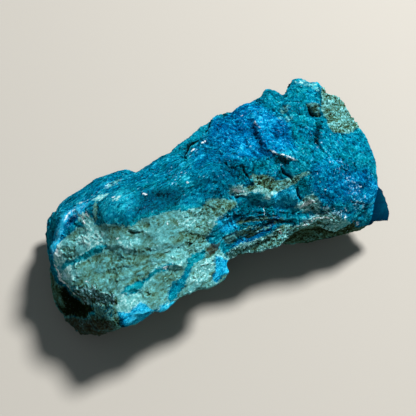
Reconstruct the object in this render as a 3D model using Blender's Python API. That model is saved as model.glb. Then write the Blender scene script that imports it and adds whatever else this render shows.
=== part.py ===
"""Chrysocolla specimen: one broken lump of rock, 15 cm long, lying on its flat broken underside.

The lump is blocked out as overlapping lobes. Each lobe is the convex hull of the corners of its fracture
faces, so its faces are flat breaks. The lobes are fused into one skin. The skin is carved with the ledges,
clefts, hollows and lumps that show on the stone, then with small ledges and grain all over. Last, the skin is
thinned to fewer faces, and the underside is cut off flat where the stone lies.

Units are metres. +X runs along the stone, +Y to its back and +Z up. The origin is on the resting plane, under
the middle of the stone's box.
"""

import math
import random

import bmesh
import bpy
import numpy as np
from mathutils import Vector, noise

# Driving dimensions: the stone's overall size. Every place below is a share of them.
LENGTH = 0.150
WIDTH = 0.080
HEIGHT = 0.058

NAME = "chrysocolla_stone"
COLOUR = (0.035, 0.26, 0.30, 1.0)
ROUGHNESS = 0.62
SHARP_ANGLE = math.radians(35)  # edges sharper than this are shaded as breaks
SEED = 23
SKIN_VOXEL = 0.0011  # grain of the fused skin, before it is thinned
FACES_KEPT = 9300  # triangles left on the stone before its underside is cut
FEET = -0.03 * HEIGHT  # level of the lobes' feet
BASE_CUT = 0.0012  # height above the feet at which the underside is broken off flat
BASE_FADE = 0.004  # height over which ledges and grain fade out towards the underside

# Corners of each lobe, as (along, across, up) in hundredths of the half length, half width and height.
LEFT_BLOCK = [
    (-73, 61, 52), (-52, 68, 57), (-33, 62, 57), (-14, 58, 62),  # back shoulder
    (-33, 50, 71), (-46, 44, 74), (-68, 33, 72),  # fold along the back shoulder
    (-79, 26, 69), (-61, 16, 80), (-42, 6, 94), (-10, 0, 98),  # crest
    (-88, 4, 59), (-86, -20, 56), (-83, -42, 59), (-68, -70, 64),  # left brow
    (-67, -97, 59), (-52, -98, 57), (-44, -97, 55),  # front brow, left
    (-24, -86, 48), (-8, -85, 48), (-2, -79, 48),  # front brow, right
    (-40, -72, 66), (-16, -46, 74),  # face behind the front brow
    (-90, 60, 19), (-85, 68, 31), (-99, -25, 6), (-95, -54, 4), (-86, -73, 4), (-79, -74, 5),  # left foot
    (-78, 55, 8), (-80, 40, -3), (-48, 46, -3), (-12, 44, -3),  # back foot
    (-74, -50, -3), (-60, -52, -3), (-36, -42, -3), (-14, -40, -3),  # front foot
]
MIDDLE_BLOCK = [
    (-33, 62, 56), (-10, 70, 57), (-20, 50, 70), (16, 66, 74),  # back shoulder
    (-10, 0, 98), (16, 5, 98), (34, 2, 93),  # crest
    (-30, -50, 66), (-8, -52, 66), (10, -36, 79), (32, -42, 76),  # top of the stepped band
    (2, -67, 49), (15, -69, 49), (29, -71, 49), (40, -60, 46),  # front brow
    (-16, -26, -3), (8, -30, -3), (30, -24, -3), (-20, 42, -3), (30, 46, -3),  # underside
]
RIGHT_BLOCK = [
    (-1, 49, 74), (16, 71, 78), (28, 74, 79), (41, 72, 78), (58, 88, 76), (62, 83, 74),  # back edge
    (89, 60, 74), (96, 40, 71), (96, 16, 71), (98, -2, 71), (94, -29, 71), (90, -57, 64),  # right edge
    (16, 5, 96), (34, 2, 93), (55, -14, 88), (65, -50, 72),  # top
    (32, -60, 55), (47, -62, 58), (58, -63, 60), (70, -74, 40), (81, -77, 45),  # front brow
    (99, -60, 41), (100, -74, 26), (87, -77, 38), (85, -67, 58),  # right facet
    (70, -69, 21), (53, -64, 14), (39, -53, 12),  # front foot
    (0, 50, 10), (88, 50, 24), (90, -40, 14),
    (20, 38, -3), (44, 46, -3), (62, 36, -3), (70, 6, -3),  # underside, back and right
    (66, -30, -3), (46, -36, -3), (30, -26, -3),  # underside, front
]
PEAK = [
    (65, 86, 72), (69, 92, 76), (76, 94, 78), (86, 78, 80), (88, 62, 78),
    (72, 40, 84), (62, 60, 81), (60, 40, 30), (80, 50, 30), (72, 80, 34),
]
SMALL_PEAK = [(56, 92, 77), (48, 80, 79), (60, 84, 78), (52, 66, 84), (50, 70, 40), (58, 76, 40)]
SIDE_LUMP = [(84, 64, 77), (92, 62, 74), (97, 48, 72), (80, 30, 80), (88, 20, 60), (88, 44, 30)]
BACK_LEDGE = [
    (-8, 74, 53), (8, 84, 55), (23, 96, 57), (30, 100, 57), (46, 93, 57), (60, 84, 60),
    (0, 50, 60), (50, 50, 62), (4, 66, 14), (44, 74, 14), (20, 50, -3), (50, 46, -3),
]
LOBES = [LEFT_BLOCK, MIDDLE_BLOCK, RIGHT_BLOCK, PEAK, SMALL_PEAK, SIDE_LUMP, BACK_LEDGE]

# Ledges on the top and the front, as (height, reach, path in plan). The low side is on the right of the path.
LEDGES = {
    "white edge": (0.0020, 0.013, [(39, 59), (39, 43), (37, 25), (35, 12), (38, 3), (44, -6), (50, -14)]),
    "pale rim": (0.0032, 0.011, [(9, -15), (14, -22), (21, -24), (26, -31), (31, -37), (38, -37), (46, -40)]),
    "lower rim": (0.0018, 0.007, [(40, -50), (45, -47), (51, -45), (55, -54), (62, -58)]),
    "band top": (0.0016, 0.006, [(-3, -37), (9, -40), (17, -44), (24, -46), (33, -50)]),
    "band middle": (0.0018, 0.006, [(-5, -54), (6, -52), (15, -52), (22, -52), (29, -52)]),
    "band foot": (0.0014, 0.006, [(2, -62), (13, -62), (26, -61), (34, -60)]),
    "flap": (0.0014, 0.008, [(-50, -17), (-47, -21), (-44, -26), (-39, -29), (-34, -29)]),
    "upper face": (0.0012, 0.008, [(-62, -26), (-55, -32), (-46, -42), (-38, -45), (-28, -50)]),
    "middle face": (0.0010, 0.007, [(-70, -42), (-58, -48), (-51, -52), (-40, -53), (-34, -58)]),
    "lower face": (0.0014, 0.010, [(-60, -73), (-51, -70), (-45, -65), (-40, -63), (-31, -62), (-24, -67)]),
    "broken corner": (0.0030, 0.008, [(-82, -46), (-78, -53), (-73, -58), (-68, -66), (-63, -76)]),
    "crevice": (0.0036, 0.010, [(44, 86), (28, 84), (14, 70), (8, 59), (2, 53), (-4, 39)]),
}

# Clefts, as (depth, half width, path in plan).
CLEFTS = {
    "crevice foot": (0.0020, 0.0014, [(28, 86), (14, 72), (7, 61), (1, 54), (-5, 40)]),
    "peak cleft": (0.0030, 0.0016, [(64, 76), (64, 86), (63, 96)]),
    "below the hollow": (0.0014, 0.0012, [(75, 34), (72, 27), (70, 17), (66, 6), (63, -2)]),
    "shell break": (0.0012, 0.0010, [(19, 4), (19, -4), (21, -12), (24, -19)]),
    "between lumps": (0.0014, 0.0010, [(38, -10), (41, -17), (44, -27), (44, -36)]),
    "teal vein": (0.0008, 0.0010, [(-40, -88), (-34, -79), (-28, -76), (-23, -64), (-14, -58)]),
    "notch": (0.0020, 0.0022, [(-4, -60), (1, -68), (3, -80)]),
}

# Lumps, and hollows with a height below 0, as (middle, half length, half width, height, turn in degrees).
LUMPS = {
    "glassy dome": ((-51, -4, 87), 0.0090, 0.0055, 0.0018, -8),
    "glassy bowl": ((-27, -8, 92), 0.0110, 0.0050, -0.0014, -4),
    "left lump": ((34, -17, 88), 0.0038, 0.0034, 0.0012, 0),
    "right lump": ((46, -20, 86), 0.0040, 0.0032, 0.0012, -30),
    "hollow": ((73, 42, 83), 0.0048, 0.0036, -0.0038, -20),
    "hollow floor": ((76, 38, 80), 0.0030, 0.0026, -0.0016, 0),
    "left wall": ((-90, -44, 38), 0.0110, 0.0120, -0.0050, -40),
    "left rim": ((-72, 21, 71), 0.0040, 0.0024, -0.0012, 20),
    "back wall": ((-40, 58, 28), 0.0180, 0.0080, -0.0040, 0),
    "back foot": ((-8, 56, 16), 0.0120, 0.0080, -0.0034, 0),
    "right wall": ((94, 20, 26), 0.0120, 0.0150, -0.0026, 0),
    "right back wall": ((84, 58, 46), 0.0110, 0.0070, -0.0030, 0),
    "front wall": ((52, -62, 36), 0.0140, 0.0060, -0.0030, 5),
    "brow wall": ((-40, -80, 28), 0.0170, 0.0090, -0.0040, 5),
    "middle wall": ((12, -50, 20), 0.0120, 0.0080, -0.0034, 0),
}

STEP_WIDTH = 0.0012  # least run of a ledge's step
STEP_SLOPE = 0.9  # run of a high ledge's step as a share of its height
LIP_SHARE = 0.25  # part of a ledge's height that stands up as its lip
END_FADE = 0.004  # length over which a ledge or a cleft runs out at its ends
LUMP_STEEPNESS = 1.6

# Small ledges all over the stone, as (how many, height, reach behind the step, half length).
LEDGE_SIZES = [(34, 0.0013, 0.013, 0.022), (80, 0.0009, 0.009, 0.013), (90, 0.0005, 0.005, 0.008)]
TOP_SHARE = 0.55  # share of a small ledge's height on the level top
WALL_SHARE = 1.3  # what is added to that share as the skin turns upright
LEDGE_SCATTER = 0.35  # how far a ledge turns from the grain
WAVE_LENGTH = 0.23  # a small ledge's waves as a share of its half length
WAVE_SWING = 0.08  # and their swing as a share of its reach
GLASSY = [(-51, -4, 87), (-27, -8, 92)]  # middles of the smooth glassy patch
GLASSY_REACH = (0.006, 0.012)  # distance over which the small ledges start again round it

GRAIN_TURN = 0.12  # the grain's turn from the stone's length, in radians
GRAIN_SIZE = 0.0065  # spacing of the rough grain, which runs along the stone
GRAIN_STRETCH = 2.2
GRAIN_DEPTH = 0.0005


def place(along, across, up):
    """A point from hundredths of the half length, half width and height."""
    return np.array((along * LENGTH / 200, across * WIDTH / 200, up * HEIGHT / 100))


def clear_scene():
    for old in list(bpy.data.objects):
        bpy.data.objects.remove(old)


def add_hull(shape, corners):
    """Adds the closed convex lobe round these corners to a bmesh."""
    lobe = bmesh.new()
    for spot in corners:
        lobe.verts.new(place(*spot))
    made = bmesh.ops.convex_hull(lobe, input=lobe.verts)
    inner = {v for v in made["geom_interior"] + made["geom_unused"] if isinstance(v, bmesh.types.BMVert)}
    bmesh.ops.delete(lobe, geom=list(inner), context="VERTS")
    bmesh.ops.recalc_face_normals(lobe, faces=lobe.faces)
    spare = bpy.data.meshes.new("spare")
    lobe.to_mesh(spare)
    lobe.free()
    shape.from_mesh(spare)
    bpy.data.meshes.remove(spare)


def applied(obj):
    """The object's mesh with its modifiers applied, which are then removed."""
    graph = bpy.context.evaluated_depsgraph_get()
    mesh = bpy.data.meshes.new_from_object(obj.evaluated_get(graph))
    obj.modifiers.clear()
    obj.data = mesh
    return mesh


def fused_lobes():
    """One object whose skin is an even mesh round all the lobes."""
    shape = bmesh.new()
    for corners in LOBES:
        add_hull(shape, corners)
    mesh = bpy.data.meshes.new(NAME)
    shape.to_mesh(mesh)
    shape.free()
    stone = bpy.data.objects.new(NAME, mesh)
    bpy.context.scene.collection.objects.link(stone)
    fuse = stone.modifiers.new("fuse", "REMESH")
    fuse.mode = "VOXEL"
    fuse.voxel_size = SKIN_VOXEL
    even = stone.modifiers.new("even", "SMOOTH")
    even.iterations = 3
    applied(stone)
    return stone


def read_points(mesh):
    points = np.empty(len(mesh.vertices) * 3, np.float32)
    mesh.vertices.foreach_get("co", points)
    return points.reshape(-1, 3).astype(float)


def read_normals(mesh):
    normals = np.empty(len(mesh.vertices) * 3, np.float32)
    mesh.vertices.foreach_get("normal", normals)
    return normals.reshape(-1, 3).astype(float)


def write_points(mesh, points):
    mesh.vertices.foreach_set("co", points.astype(np.float32).ravel())
    mesh.update()


def smooth(share):
    """0 to 1 with level ends."""
    share = np.clip(share, 0, 1)
    return share * share * (3 - 2 * share)


def clear_of_base(points, normals):
    """1 over the stone, falling to 0 on its underside, which stays flat."""
    low = 1 - np.clip((points[:, 2] - FEET) / BASE_FADE, 0, 1)
    return 1 - low * smooth(-2 * normals[:, 2])


def ledge_drop(side, height, reach):
    """How far a ledge drops the skin: a step at side 0 that climbs back over its reach, with a lip behind."""
    step = smooth(side / max(STEP_WIDTH, STEP_SLOPE * height)) * np.clip(1 - side / reach, 0, 1)
    lip = LIP_SHARE * np.clip(1 + side / reach, 0, 1) * (side <= 0)
    return height * (step - lip)


def beside(points, path):
    """Each point's distance to the right of a path in plan, and a share that falls to 0 at its ends."""
    spots = [place(*spot, 0)[:2] for spot in path]
    plan = points[:, :2]
    nearest = np.full(len(points), np.inf)
    side = np.zeros(len(points))
    for start, end in zip(spots, spots[1:]):
        way = end - start
        share = np.clip((plan - start) @ way / (way @ way), 0, 1)
        off = plan - start - share[:, None] * way
        far = np.linalg.norm(off, axis=1)
        right = np.where(off[:, 0] * way[1] > off[:, 1] * way[0], 1, -1)
        side = np.where(far < nearest, far * right, side)
        nearest = np.minimum(nearest, far)
    first, last = spots[1] - spots[0], spots[-1] - spots[-2]
    from_start = (plan - spots[0]) @ first / np.linalg.norm(first)
    from_end = (spots[-1] - plan) @ last / np.linalg.norm(last)
    return side, smooth(np.minimum(from_start, from_end) / END_FADE)


def carve(mesh):
    """Cuts the named clefts and ledges, and swells or sinks the lumps and hollows."""
    points, normals = read_points(mesh), read_normals(mesh)
    facing_up = smooth((normals[:, 2] - 0.05) / 0.2)
    move = np.zeros(len(points))
    for middle, half_length, half_width, height, turn in LUMPS.values():
        away = points - place(*middle)
        angle = np.radians(turn)
        run = away[:, 0] * np.cos(angle) + away[:, 1] * np.sin(angle)
        across = away[:, 1] * np.cos(angle) - away[:, 0] * np.sin(angle)
        shares = (run / half_length, across / half_width, away[:, 2] / half_length)
        move += height * smooth((1 - np.linalg.norm(shares, axis=0)) * LUMP_STEEPNESS)
    for height, reach, path in LEDGES.values():
        side, inside = beside(points, path)
        move -= ledge_drop(side, height, reach) * (abs(side) < reach) * inside * facing_up
    for depth, half_width, path in CLEFTS.values():
        side, inside = beside(points, path)
        move -= depth * np.clip(1 - abs(side) / half_width, 0, 1) * inside * facing_up
    write_points(mesh, points + normals * (move * clear_of_base(points, normals))[:, None])


def break_ledges(mesh):
    """Steps the skin with small broken ledges, most of which run along the stone."""
    points, normals = read_points(mesh), read_normals(mesh)
    keep = clear_of_base(points, normals)
    for middle in GLASSY:
        away = np.linalg.norm(points - place(*middle), axis=1)
        keep *= smooth((away - GLASSY_REACH[0]) / (GLASSY_REACH[1] - GLASSY_REACH[0]))
    pick = random.Random(SEED)
    grain = np.array((np.cos(GRAIN_TURN), np.sin(GRAIN_TURN), 0.0))
    for count, height, reach, half_length in LEDGE_SIZES:
        for _ in range(count):
            middle = pick.randrange(len(points))
            facing = normals[middle]
            along = grain + np.array([pick.gauss(0, LEDGE_SCATTER) for _ in range(3)])
            along -= facing * (along @ facing)
            along /= np.linalg.norm(along)
            across = np.cross(facing, along) * pick.choice((-1, 1))
            size = pick.uniform(0.6, 1.3)
            rise = height * size * (TOP_SHARE + WALL_SHARE * (1 - abs(facing[2])))
            away = points - points[middle]
            run, side, off = away @ along, away @ across, away @ facing
            near = (abs(run) < half_length * size) & (abs(side) < reach * size) & (abs(off) < reach)
            near &= normals @ facing > 0.3
            wave = np.sin(run / (WAVE_LENGTH * half_length) + pick.uniform(0, math.tau)) * WAVE_SWING * reach
            ends = smooth((1 - abs(run) / (half_length * size)) * 2)
            drop = ledge_drop(side + wave, rise, reach * size) * ends * keep
            points -= np.outer(np.where(near, drop, 0), facing)
    write_points(mesh, points)


def roughen(mesh):
    """Rough broken grain, drawn out along the stone."""
    points, normals = read_points(mesh), read_normals(mesh)
    stretch = np.array((1 / GRAIN_STRETCH, 1, 1)) / GRAIN_SIZE
    height = [noise.ridged_multi_fractal(Vector(p * stretch), 1.0, 2.1, 3, 1.0, 2.0) for p in points]
    height = (np.array(height) - np.mean(height)) * clear_of_base(points, normals)
    write_points(mesh, points + normals * (height * GRAIN_DEPTH)[:, None])


def thin(stone):
    """Thins the even skin to large faces on the flats and small ones at the edges."""
    fewer = stone.modifiers.new("fewer", "DECIMATE")
    stone.data.calc_loop_triangles()
    fewer.ratio = FACES_KEPT / len(stone.data.loop_triangles)
    applied(stone)


def cut_underside(stone):
    """Breaks the stone off flat, and sets that face on the resting plane, centred under the box."""
    shape = bmesh.new()
    shape.from_mesh(stone.data)
    whole = list(shape.verts) + list(shape.edges) + list(shape.faces)
    cut = bmesh.ops.bisect_plane(
        shape, geom=whole, plane_co=(0, 0, FEET + BASE_CUT), plane_no=(0, 0, 1), clear_inner=True
    )
    rim = [e for e in cut["geom_cut"] if isinstance(e, bmesh.types.BMEdge)]
    bmesh.ops.contextual_create(shape, geom=rim)
    spots = np.array([v.co for v in shape.verts])
    low, high = spots.min(0), spots.max(0)
    shift = Vector(((low[0] + high[0]) / -2, (low[1] + high[1]) / -2, -low[2]))
    bmesh.ops.translate(shape, verts=shape.verts, vec=shift)
    bmesh.ops.recalc_face_normals(shape, faces=shape.faces)
    if shape.calc_volume(signed=True) < 0:
        bmesh.ops.reverse_faces(shape, faces=shape.faces)
    shape.to_mesh(stone.data)
    shape.free()


def stone_material():
    """Dull blue-green copper mineral."""
    material = bpy.data.materials.new("chrysocolla")
    material.use_nodes = True
    shader = material.node_tree.nodes["Principled BSDF"]
    shader.inputs["Base Color"].default_value = COLOUR
    shader.inputs["Roughness"].default_value = ROUGHNESS
    shader.inputs["Metallic"].default_value = 0.0
    return material


def finish(mesh):
    mesh.materials.append(stone_material())
    mesh.shade_smooth()
    mesh.set_sharp_from_angle(angle=SHARP_ANGLE)


def main():
    clear_scene()
    stone = fused_lobes()
    carve(stone.data)
    break_ledges(stone.data)
    roughen(stone.data)
    thin(stone)
    cut_underside(stone)
    finish(stone.data)


main()
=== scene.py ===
import itertools
import math

import bmesh
import bpy
import numpy as np
from mathutils import Matrix, Vector, noise


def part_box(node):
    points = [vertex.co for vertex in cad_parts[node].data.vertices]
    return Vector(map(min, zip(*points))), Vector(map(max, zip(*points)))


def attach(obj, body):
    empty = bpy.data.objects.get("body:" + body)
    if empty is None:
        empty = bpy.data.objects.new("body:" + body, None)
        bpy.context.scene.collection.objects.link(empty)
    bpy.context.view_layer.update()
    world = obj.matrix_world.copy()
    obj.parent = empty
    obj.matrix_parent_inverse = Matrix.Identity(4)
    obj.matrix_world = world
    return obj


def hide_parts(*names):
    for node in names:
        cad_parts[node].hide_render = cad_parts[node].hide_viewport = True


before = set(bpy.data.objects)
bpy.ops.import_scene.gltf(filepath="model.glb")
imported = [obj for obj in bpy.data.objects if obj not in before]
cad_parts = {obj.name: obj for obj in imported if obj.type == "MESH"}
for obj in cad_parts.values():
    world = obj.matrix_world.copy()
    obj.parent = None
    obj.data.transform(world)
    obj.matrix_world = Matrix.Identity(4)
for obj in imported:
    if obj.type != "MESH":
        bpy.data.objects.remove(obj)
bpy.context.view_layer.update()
mm = 0.001


def smooth(share):
    share = np.clip(share, 0, 1)
    return share * share * (3 - 2 * share)


def blend(a, b, share):
    return a + (b - a) * share


def perlin(spots, shift=0.0, octaves=1):
    # soft noise from about -1 to 1 at each spot, in units of its own grain
    away = np.array((shift, -shift, shift * 0.5))
    if octaves == 1:
        return np.array([noise.noise(p) for p in spots + away])
    return np.array([noise.fractal(p, 1.0, 2.1, octaves) for p in spots + away])


def ridges(spots, shift=0.0, octaves=3):
    # sharp crests between round hollows, about 0 on the whole
    away = np.array((shift, -shift, shift * 0.5))
    crests = np.array([noise.ridged_multi_fractal(p, 1.0, 2.1, octaves, 1.0, 2.0) for p in spots + away])
    return (crests - crests.mean()) / 2


def scatter(cells, seed):
    # three numbers from 0 to 1 for each cell, the same on every run
    found = []
    for turn in range(3):
        mixed = (cells * (73856093, 19349663, 83492791)).sum(1) + (seed * 3 + turn) * 374761393
        mixed = (mixed ^ (mixed >> 13)) * 1274126177 & 0xFFFFFFFF
        found.append(((mixed ^ (mixed >> 15)) & 0xFFFF) / 0xFFFF)
    return np.stack(found, 1)


def chips(spots, seed):
    # broken flakes: the skin in each cell tilts its own way, so cells meet at small steps
    base = np.floor(spots).astype(np.int64)
    nearest, height = np.full(len(spots), np.inf), np.zeros(len(spots))
    for step in itertools.product((-1, 0, 1), repeat=3):
        cells = base + step
        away = spots - cells - scatter(cells, seed)
        far = (away * away).sum(1)
        tilted = (away * (scatter(cells, seed + 50) - 0.5)).sum(1)
        height = np.where(far < nearest, tilted, height)
        nearest = np.minimum(nearest, far)
    return height


def turned(points, angle, stretch):
    # points with x drawn out along a grain that runs at this angle in plan
    c, s = math.cos(math.radians(angle)), math.sin(math.radians(angle))
    along = points[:, 0] * c + points[:, 1] * s
    across = points[:, 1] * c - points[:, 0] * s
    return np.stack((along / stretch, across, points[:, 2]), 1)


# places on the stone are in millimetres seen from above: along it, then across towards its back
# outlines and lines that several marks share
rimLine = [(7, -7.3), (11.5, -8.3), (15, -9), (18, -10.7), (21, -12.2), (25, -13.2)]
lowerCrust = [(31, -18.5), (36, -17), (39, -17.5), (42, -21.5), (41, -22.5), (34, -20.5)]
backCorner = [(58, 4), (65, 3.5), (71, 5), (78, 7), (78, 26), (70, 32), (62.5, 26), (61, 21.5),
    (59, 17.5), (58, 10)]
leftFoot = [(-77, -6), (-73.5, -10), (-72, -17.5), (-63, -25.5), (-57.5, -29.5), (-53.5, -34),
    (-48, -36), (-49, -44), (-86, -36)]
brownCorner = [(-63, -17), (-57, -20.5), (-53, -23), (-48.5, -27), (-48, -31), (-52.5, -29.5),
    (-56.5, -27.3), (-61, -21.5)]
hollow = [(52.6, 20.2), (56, 19.7), (58.3, 18.7), (57, 14.3), (55, 17)]
# painted highlight on the dome's top
domeHighlight = [(-38, 4.5), (-36, 4), (-33.8, 4.5)]
scrape = [(-45.5, 11), (-41.5, 11.7), (-38, 10.3), (-40, 8), (-43.5, 8.2)]
leftVein = [(-68, -4), (-66, -6), (-59, -8.5), (-51, -9), (-45, -10)]
middleVein = [(-46, -28.5), (-38, -28), (-33, -26), (-30, -25), (-23, -25)]
veinEnd = [(-19, -26.3), (-17.5, -24), (-13.5, -22.5), (-9, -22.5), (-10.3, -24.7), (-14.5, -26.2),
    (-18, -27.3)]
brow = [(-49.5, -34.3), (-45, -35), (-42, -34), (-40, -33), (-38.5, -35), (-35.5, -37.3), (-31, -36.3),
    (-25.5, -35.5), (-25.5, -42), (-50, -42)]
chip = [(-7.5, -27.5), (-5.5, -26), (-0.5, -26), (4, -28), (4, -32), (-6, -32.5), (-8.5, -34.5),
    (-10.5, -33), (-8, -30.5)]
azurePatch = [(-1, -14.5), (6, -15.5), (6, -19), (2, -20), (-2, -18)]
# a hollow in the left end wall, painted near black further below as shade
shadedCavity = [(-71, -7.5), (-67.5, -10), (-63, -18), (-61, -20.5), (-57.5, -27.3), (-63, -25), (-72, -17),
    (-73, -11)]
tealCorner = [(-57.5, -24.5), (-52.5, -29), (-49.5, -31.5), (-49.5, -35), (-54, -33.5), (-58, -29)]
azureLow = [(21, -14), (30, -12.5), (33.5, -16), (32, -19), (25, -17)]
dome = [(-43.5, 3), (-42.5, 6), (-39, 9), (-35.5, 10), (-31.5, 9), (-28, 4), (-27, -0.5), (-27, -4),
    (-29.5, -5.5), (-33.5, -6.5), (-36, -7), (-40, -5), (-43, -2)]
bowl = [(-29, 3), (-23, 2.5), (-13, 0), (-9, -5), (-12, -8), (-27.5, -7), (-29.5, -3)]
azureRidge = [(-13, -7), (-6.5, -3.5), (-4.5, -7), (-8.5, -10), (-12, -9.5)]
wideVein = [(-31, -36), (-25, -32), (-21, -30), (-17, -26), (-12, -23)]
backLedge = [(-9, 26.5), (-3, 25.5), (0.5, 26), (4, 27), (8, 27.5), (12, 31.5), (15.5, 38), (12, 43),
    (-9, 34)]
facet = [(62, -33), (62.4, -31), (65.8, -24.6), (68.3, -21), (72, -21), (80, -24), (80, -36)]
leftRim = [(-66, -5), (-64, 2), (-61.5, 5.5), (-57.5, 8), (-54, 9), (-50, 9), (-46, 9.5)]
leftNavy = [(-55.5, 8.5), (-52, 7.5), (-52, 6), (-55.5, 6), (-58, 6)]
glassBlock = [(10, -10.5), (14, -11), (18.5, -13), (17, -17), (12, -17), (9.5, -13.5)]
frontCorner = [(49, -24), (55.5, -24), (62, -27), (62, -31), (56, -30), (51, -27)]
azureMid = [(23.5, -12.5), (29, -12.5), (33, -12.5), (33.5, -15.5), (31.5, -17.5), (25, -16.5)]
facetEdge = [(69, -23.3), (71.3, -24.6), (73.2, -26.6), (73.8, -28), (73.2, -29.4)]
leftWall = [(-74, 16), (-73, 8), (-72.3, 0), (-71.8, -6.5), (-71.5, -10.5), (-70, -15)]
layeredBand = [(6, -14), (16, -14), (28, -17), (25, -21), (16, -23), (8, -22), (6, -20), (8, -16)]
paleStep = [(-51.5, 7.5), (-49, 7), (-47, 4.5), (-46.5, 1.5), (-47, -1.5), (-50, -0.5), (-50.5, 3.5)]

# pale crust: how deep it counts, then an outline, or a line with its half width before it
crustAreas = {
    "face": (9, [(-60, 2), (-54, 3.5), (-49, 1), (-42, -4), (-37, -7), (-34, -8), (-30, -7), (-25, -7.5),
        (-19, -8), (-14, -9), (-6, -9.5), (-3, -7.5), (4, -8.5), (8, -11), (7, -13), (0, -15), (-4, -17),
        (-8, -19), (-6, -22), (0, -26), (0, -32), (-20, -40), (-40, -42), (-52, -40), (-50, -31),
        (-56, -23.5), (-60, -19.5), (-64, -15), (-67, -9), (-67, -5), (-66, -1), (-63.5, 1)]),
    "front rim": (1.2, [(-1, -24), (2, -24), (11, -23.5), (19, -23.5), (25, -22), (31, -24), (35, -23.5),
        (39, -23), (44, -24), (48, -26.5), (54, -28.5), (54, -30), (43, -30), (35, -29), (24, -29),
        (10, -29), (0, -27)]),
    "rim": (1.2, 1.3, rimLine),
    "granular": (0.5, [(18, -4), (21.5, -5), (25, -7.5), (29.5, -8.5), (32.5, -10), (39, -9.5),
        (40, -10.5), (34, -12), (30, -12.5), (24.5, -12.5), (20, -12.5), (17.5, -11), (17.5, -7)]),
    "lower crust": (1.0, lowerCrust),
    "back corner": (0.9, backCorner),
    "band line": (0.4, 0.45, [(0, -17), (8, -17.5), (15, -18.3), (22, -19)]),
    "band line low": (0.3, 0.4, [(3, -20.6), (10, -20.8), (18, -21), (26, -20.6)]),
    "band end": (0.4, 0.5, [(-2, -21), (2, -21.5), (6, -21)]),
    "left foot": (1.5, leftFoot),
    "brown corner": (1.5, brownCorner),
    "hollow": (0.6, hollow),
    # painted highlight: pale crust colour on the dome's top
    "dome highlight": (0.3, 0.9, domeHighlight),
    "scrape": (0.1, scrape),
    "strip": (0.4, 0.9, [(-44.5, 8), (-44.3, 5), (-45.5, 2), (-46.3, 0)]),
    "brown spot": (0.2, 0.9, [(-50.2, 13), (-48, 12.5)]),
    "shoulder streak": (0.0, 0.7, [(-38, 14.7), (-34.5, 16.5), (-30.5, 18.2)]),
    "mottles": (-0.1, [(41.5, 23.5), (45.5, 24.5), (46.5, 21.5), (42, 20)]),
    "low mottles": (-0.3, [(39, 18), (45, 17), (43.5, 14.5), (40.5, 15)]),
    "peak top": (0.0, 1.3, [(54, 34), (58, 31.5), (60.5, 28.5), (61, 25)]),
    "left wall": (1.0, 2.4, [(-75, 12), (-73.5, 4), (-73, -3), (-72, -8), (-70.5, -14)]),
    "shadedCavity": (1.0, shadedCavity),
    "teal corner": (0.1, tealCorner),
    "pale step": (0.6, paleStep + [(-52.5, 5.5)]),
}
# strips and patches of bare blue across the crust: half width, or None for an outline, then the line
crustCuts = {
    "left vein": (1.1, leftVein),
    "middle vein": (0.75, middleVein),
    "middle vein foot": (1.5, [(-45, -29), (-41, -28.5), (-36, -27.5)]),
    "wide vein": (1.3, [(-25, -32), (-21, -30), (-19, -28), (-17, -26), (-12, -23)]),
    "vein end": (None, veinEnd),
    "wide vein foot": (None, [(-21, -30), (-25.5, -30.2), (-29, -32.5), (-30, -35.5), (-26.5, -35.3),
        (-21.5, -32)]),
    "brow": (None, brow),
    "chip": (None, chip),
    "top patch": (None, azurePatch),
    "bowl edge": (None, [(-16.5, -3), (-9, -5.5), (-9, -8.8), (-12, -9.3), (-16, -8.8)]),
    "rim end": (None, [(46.5, -24.5), (52, -25.5), (56.5, -28.5), (56, -31), (51, -29.5), (47.5, -26.5)]),
}
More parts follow.
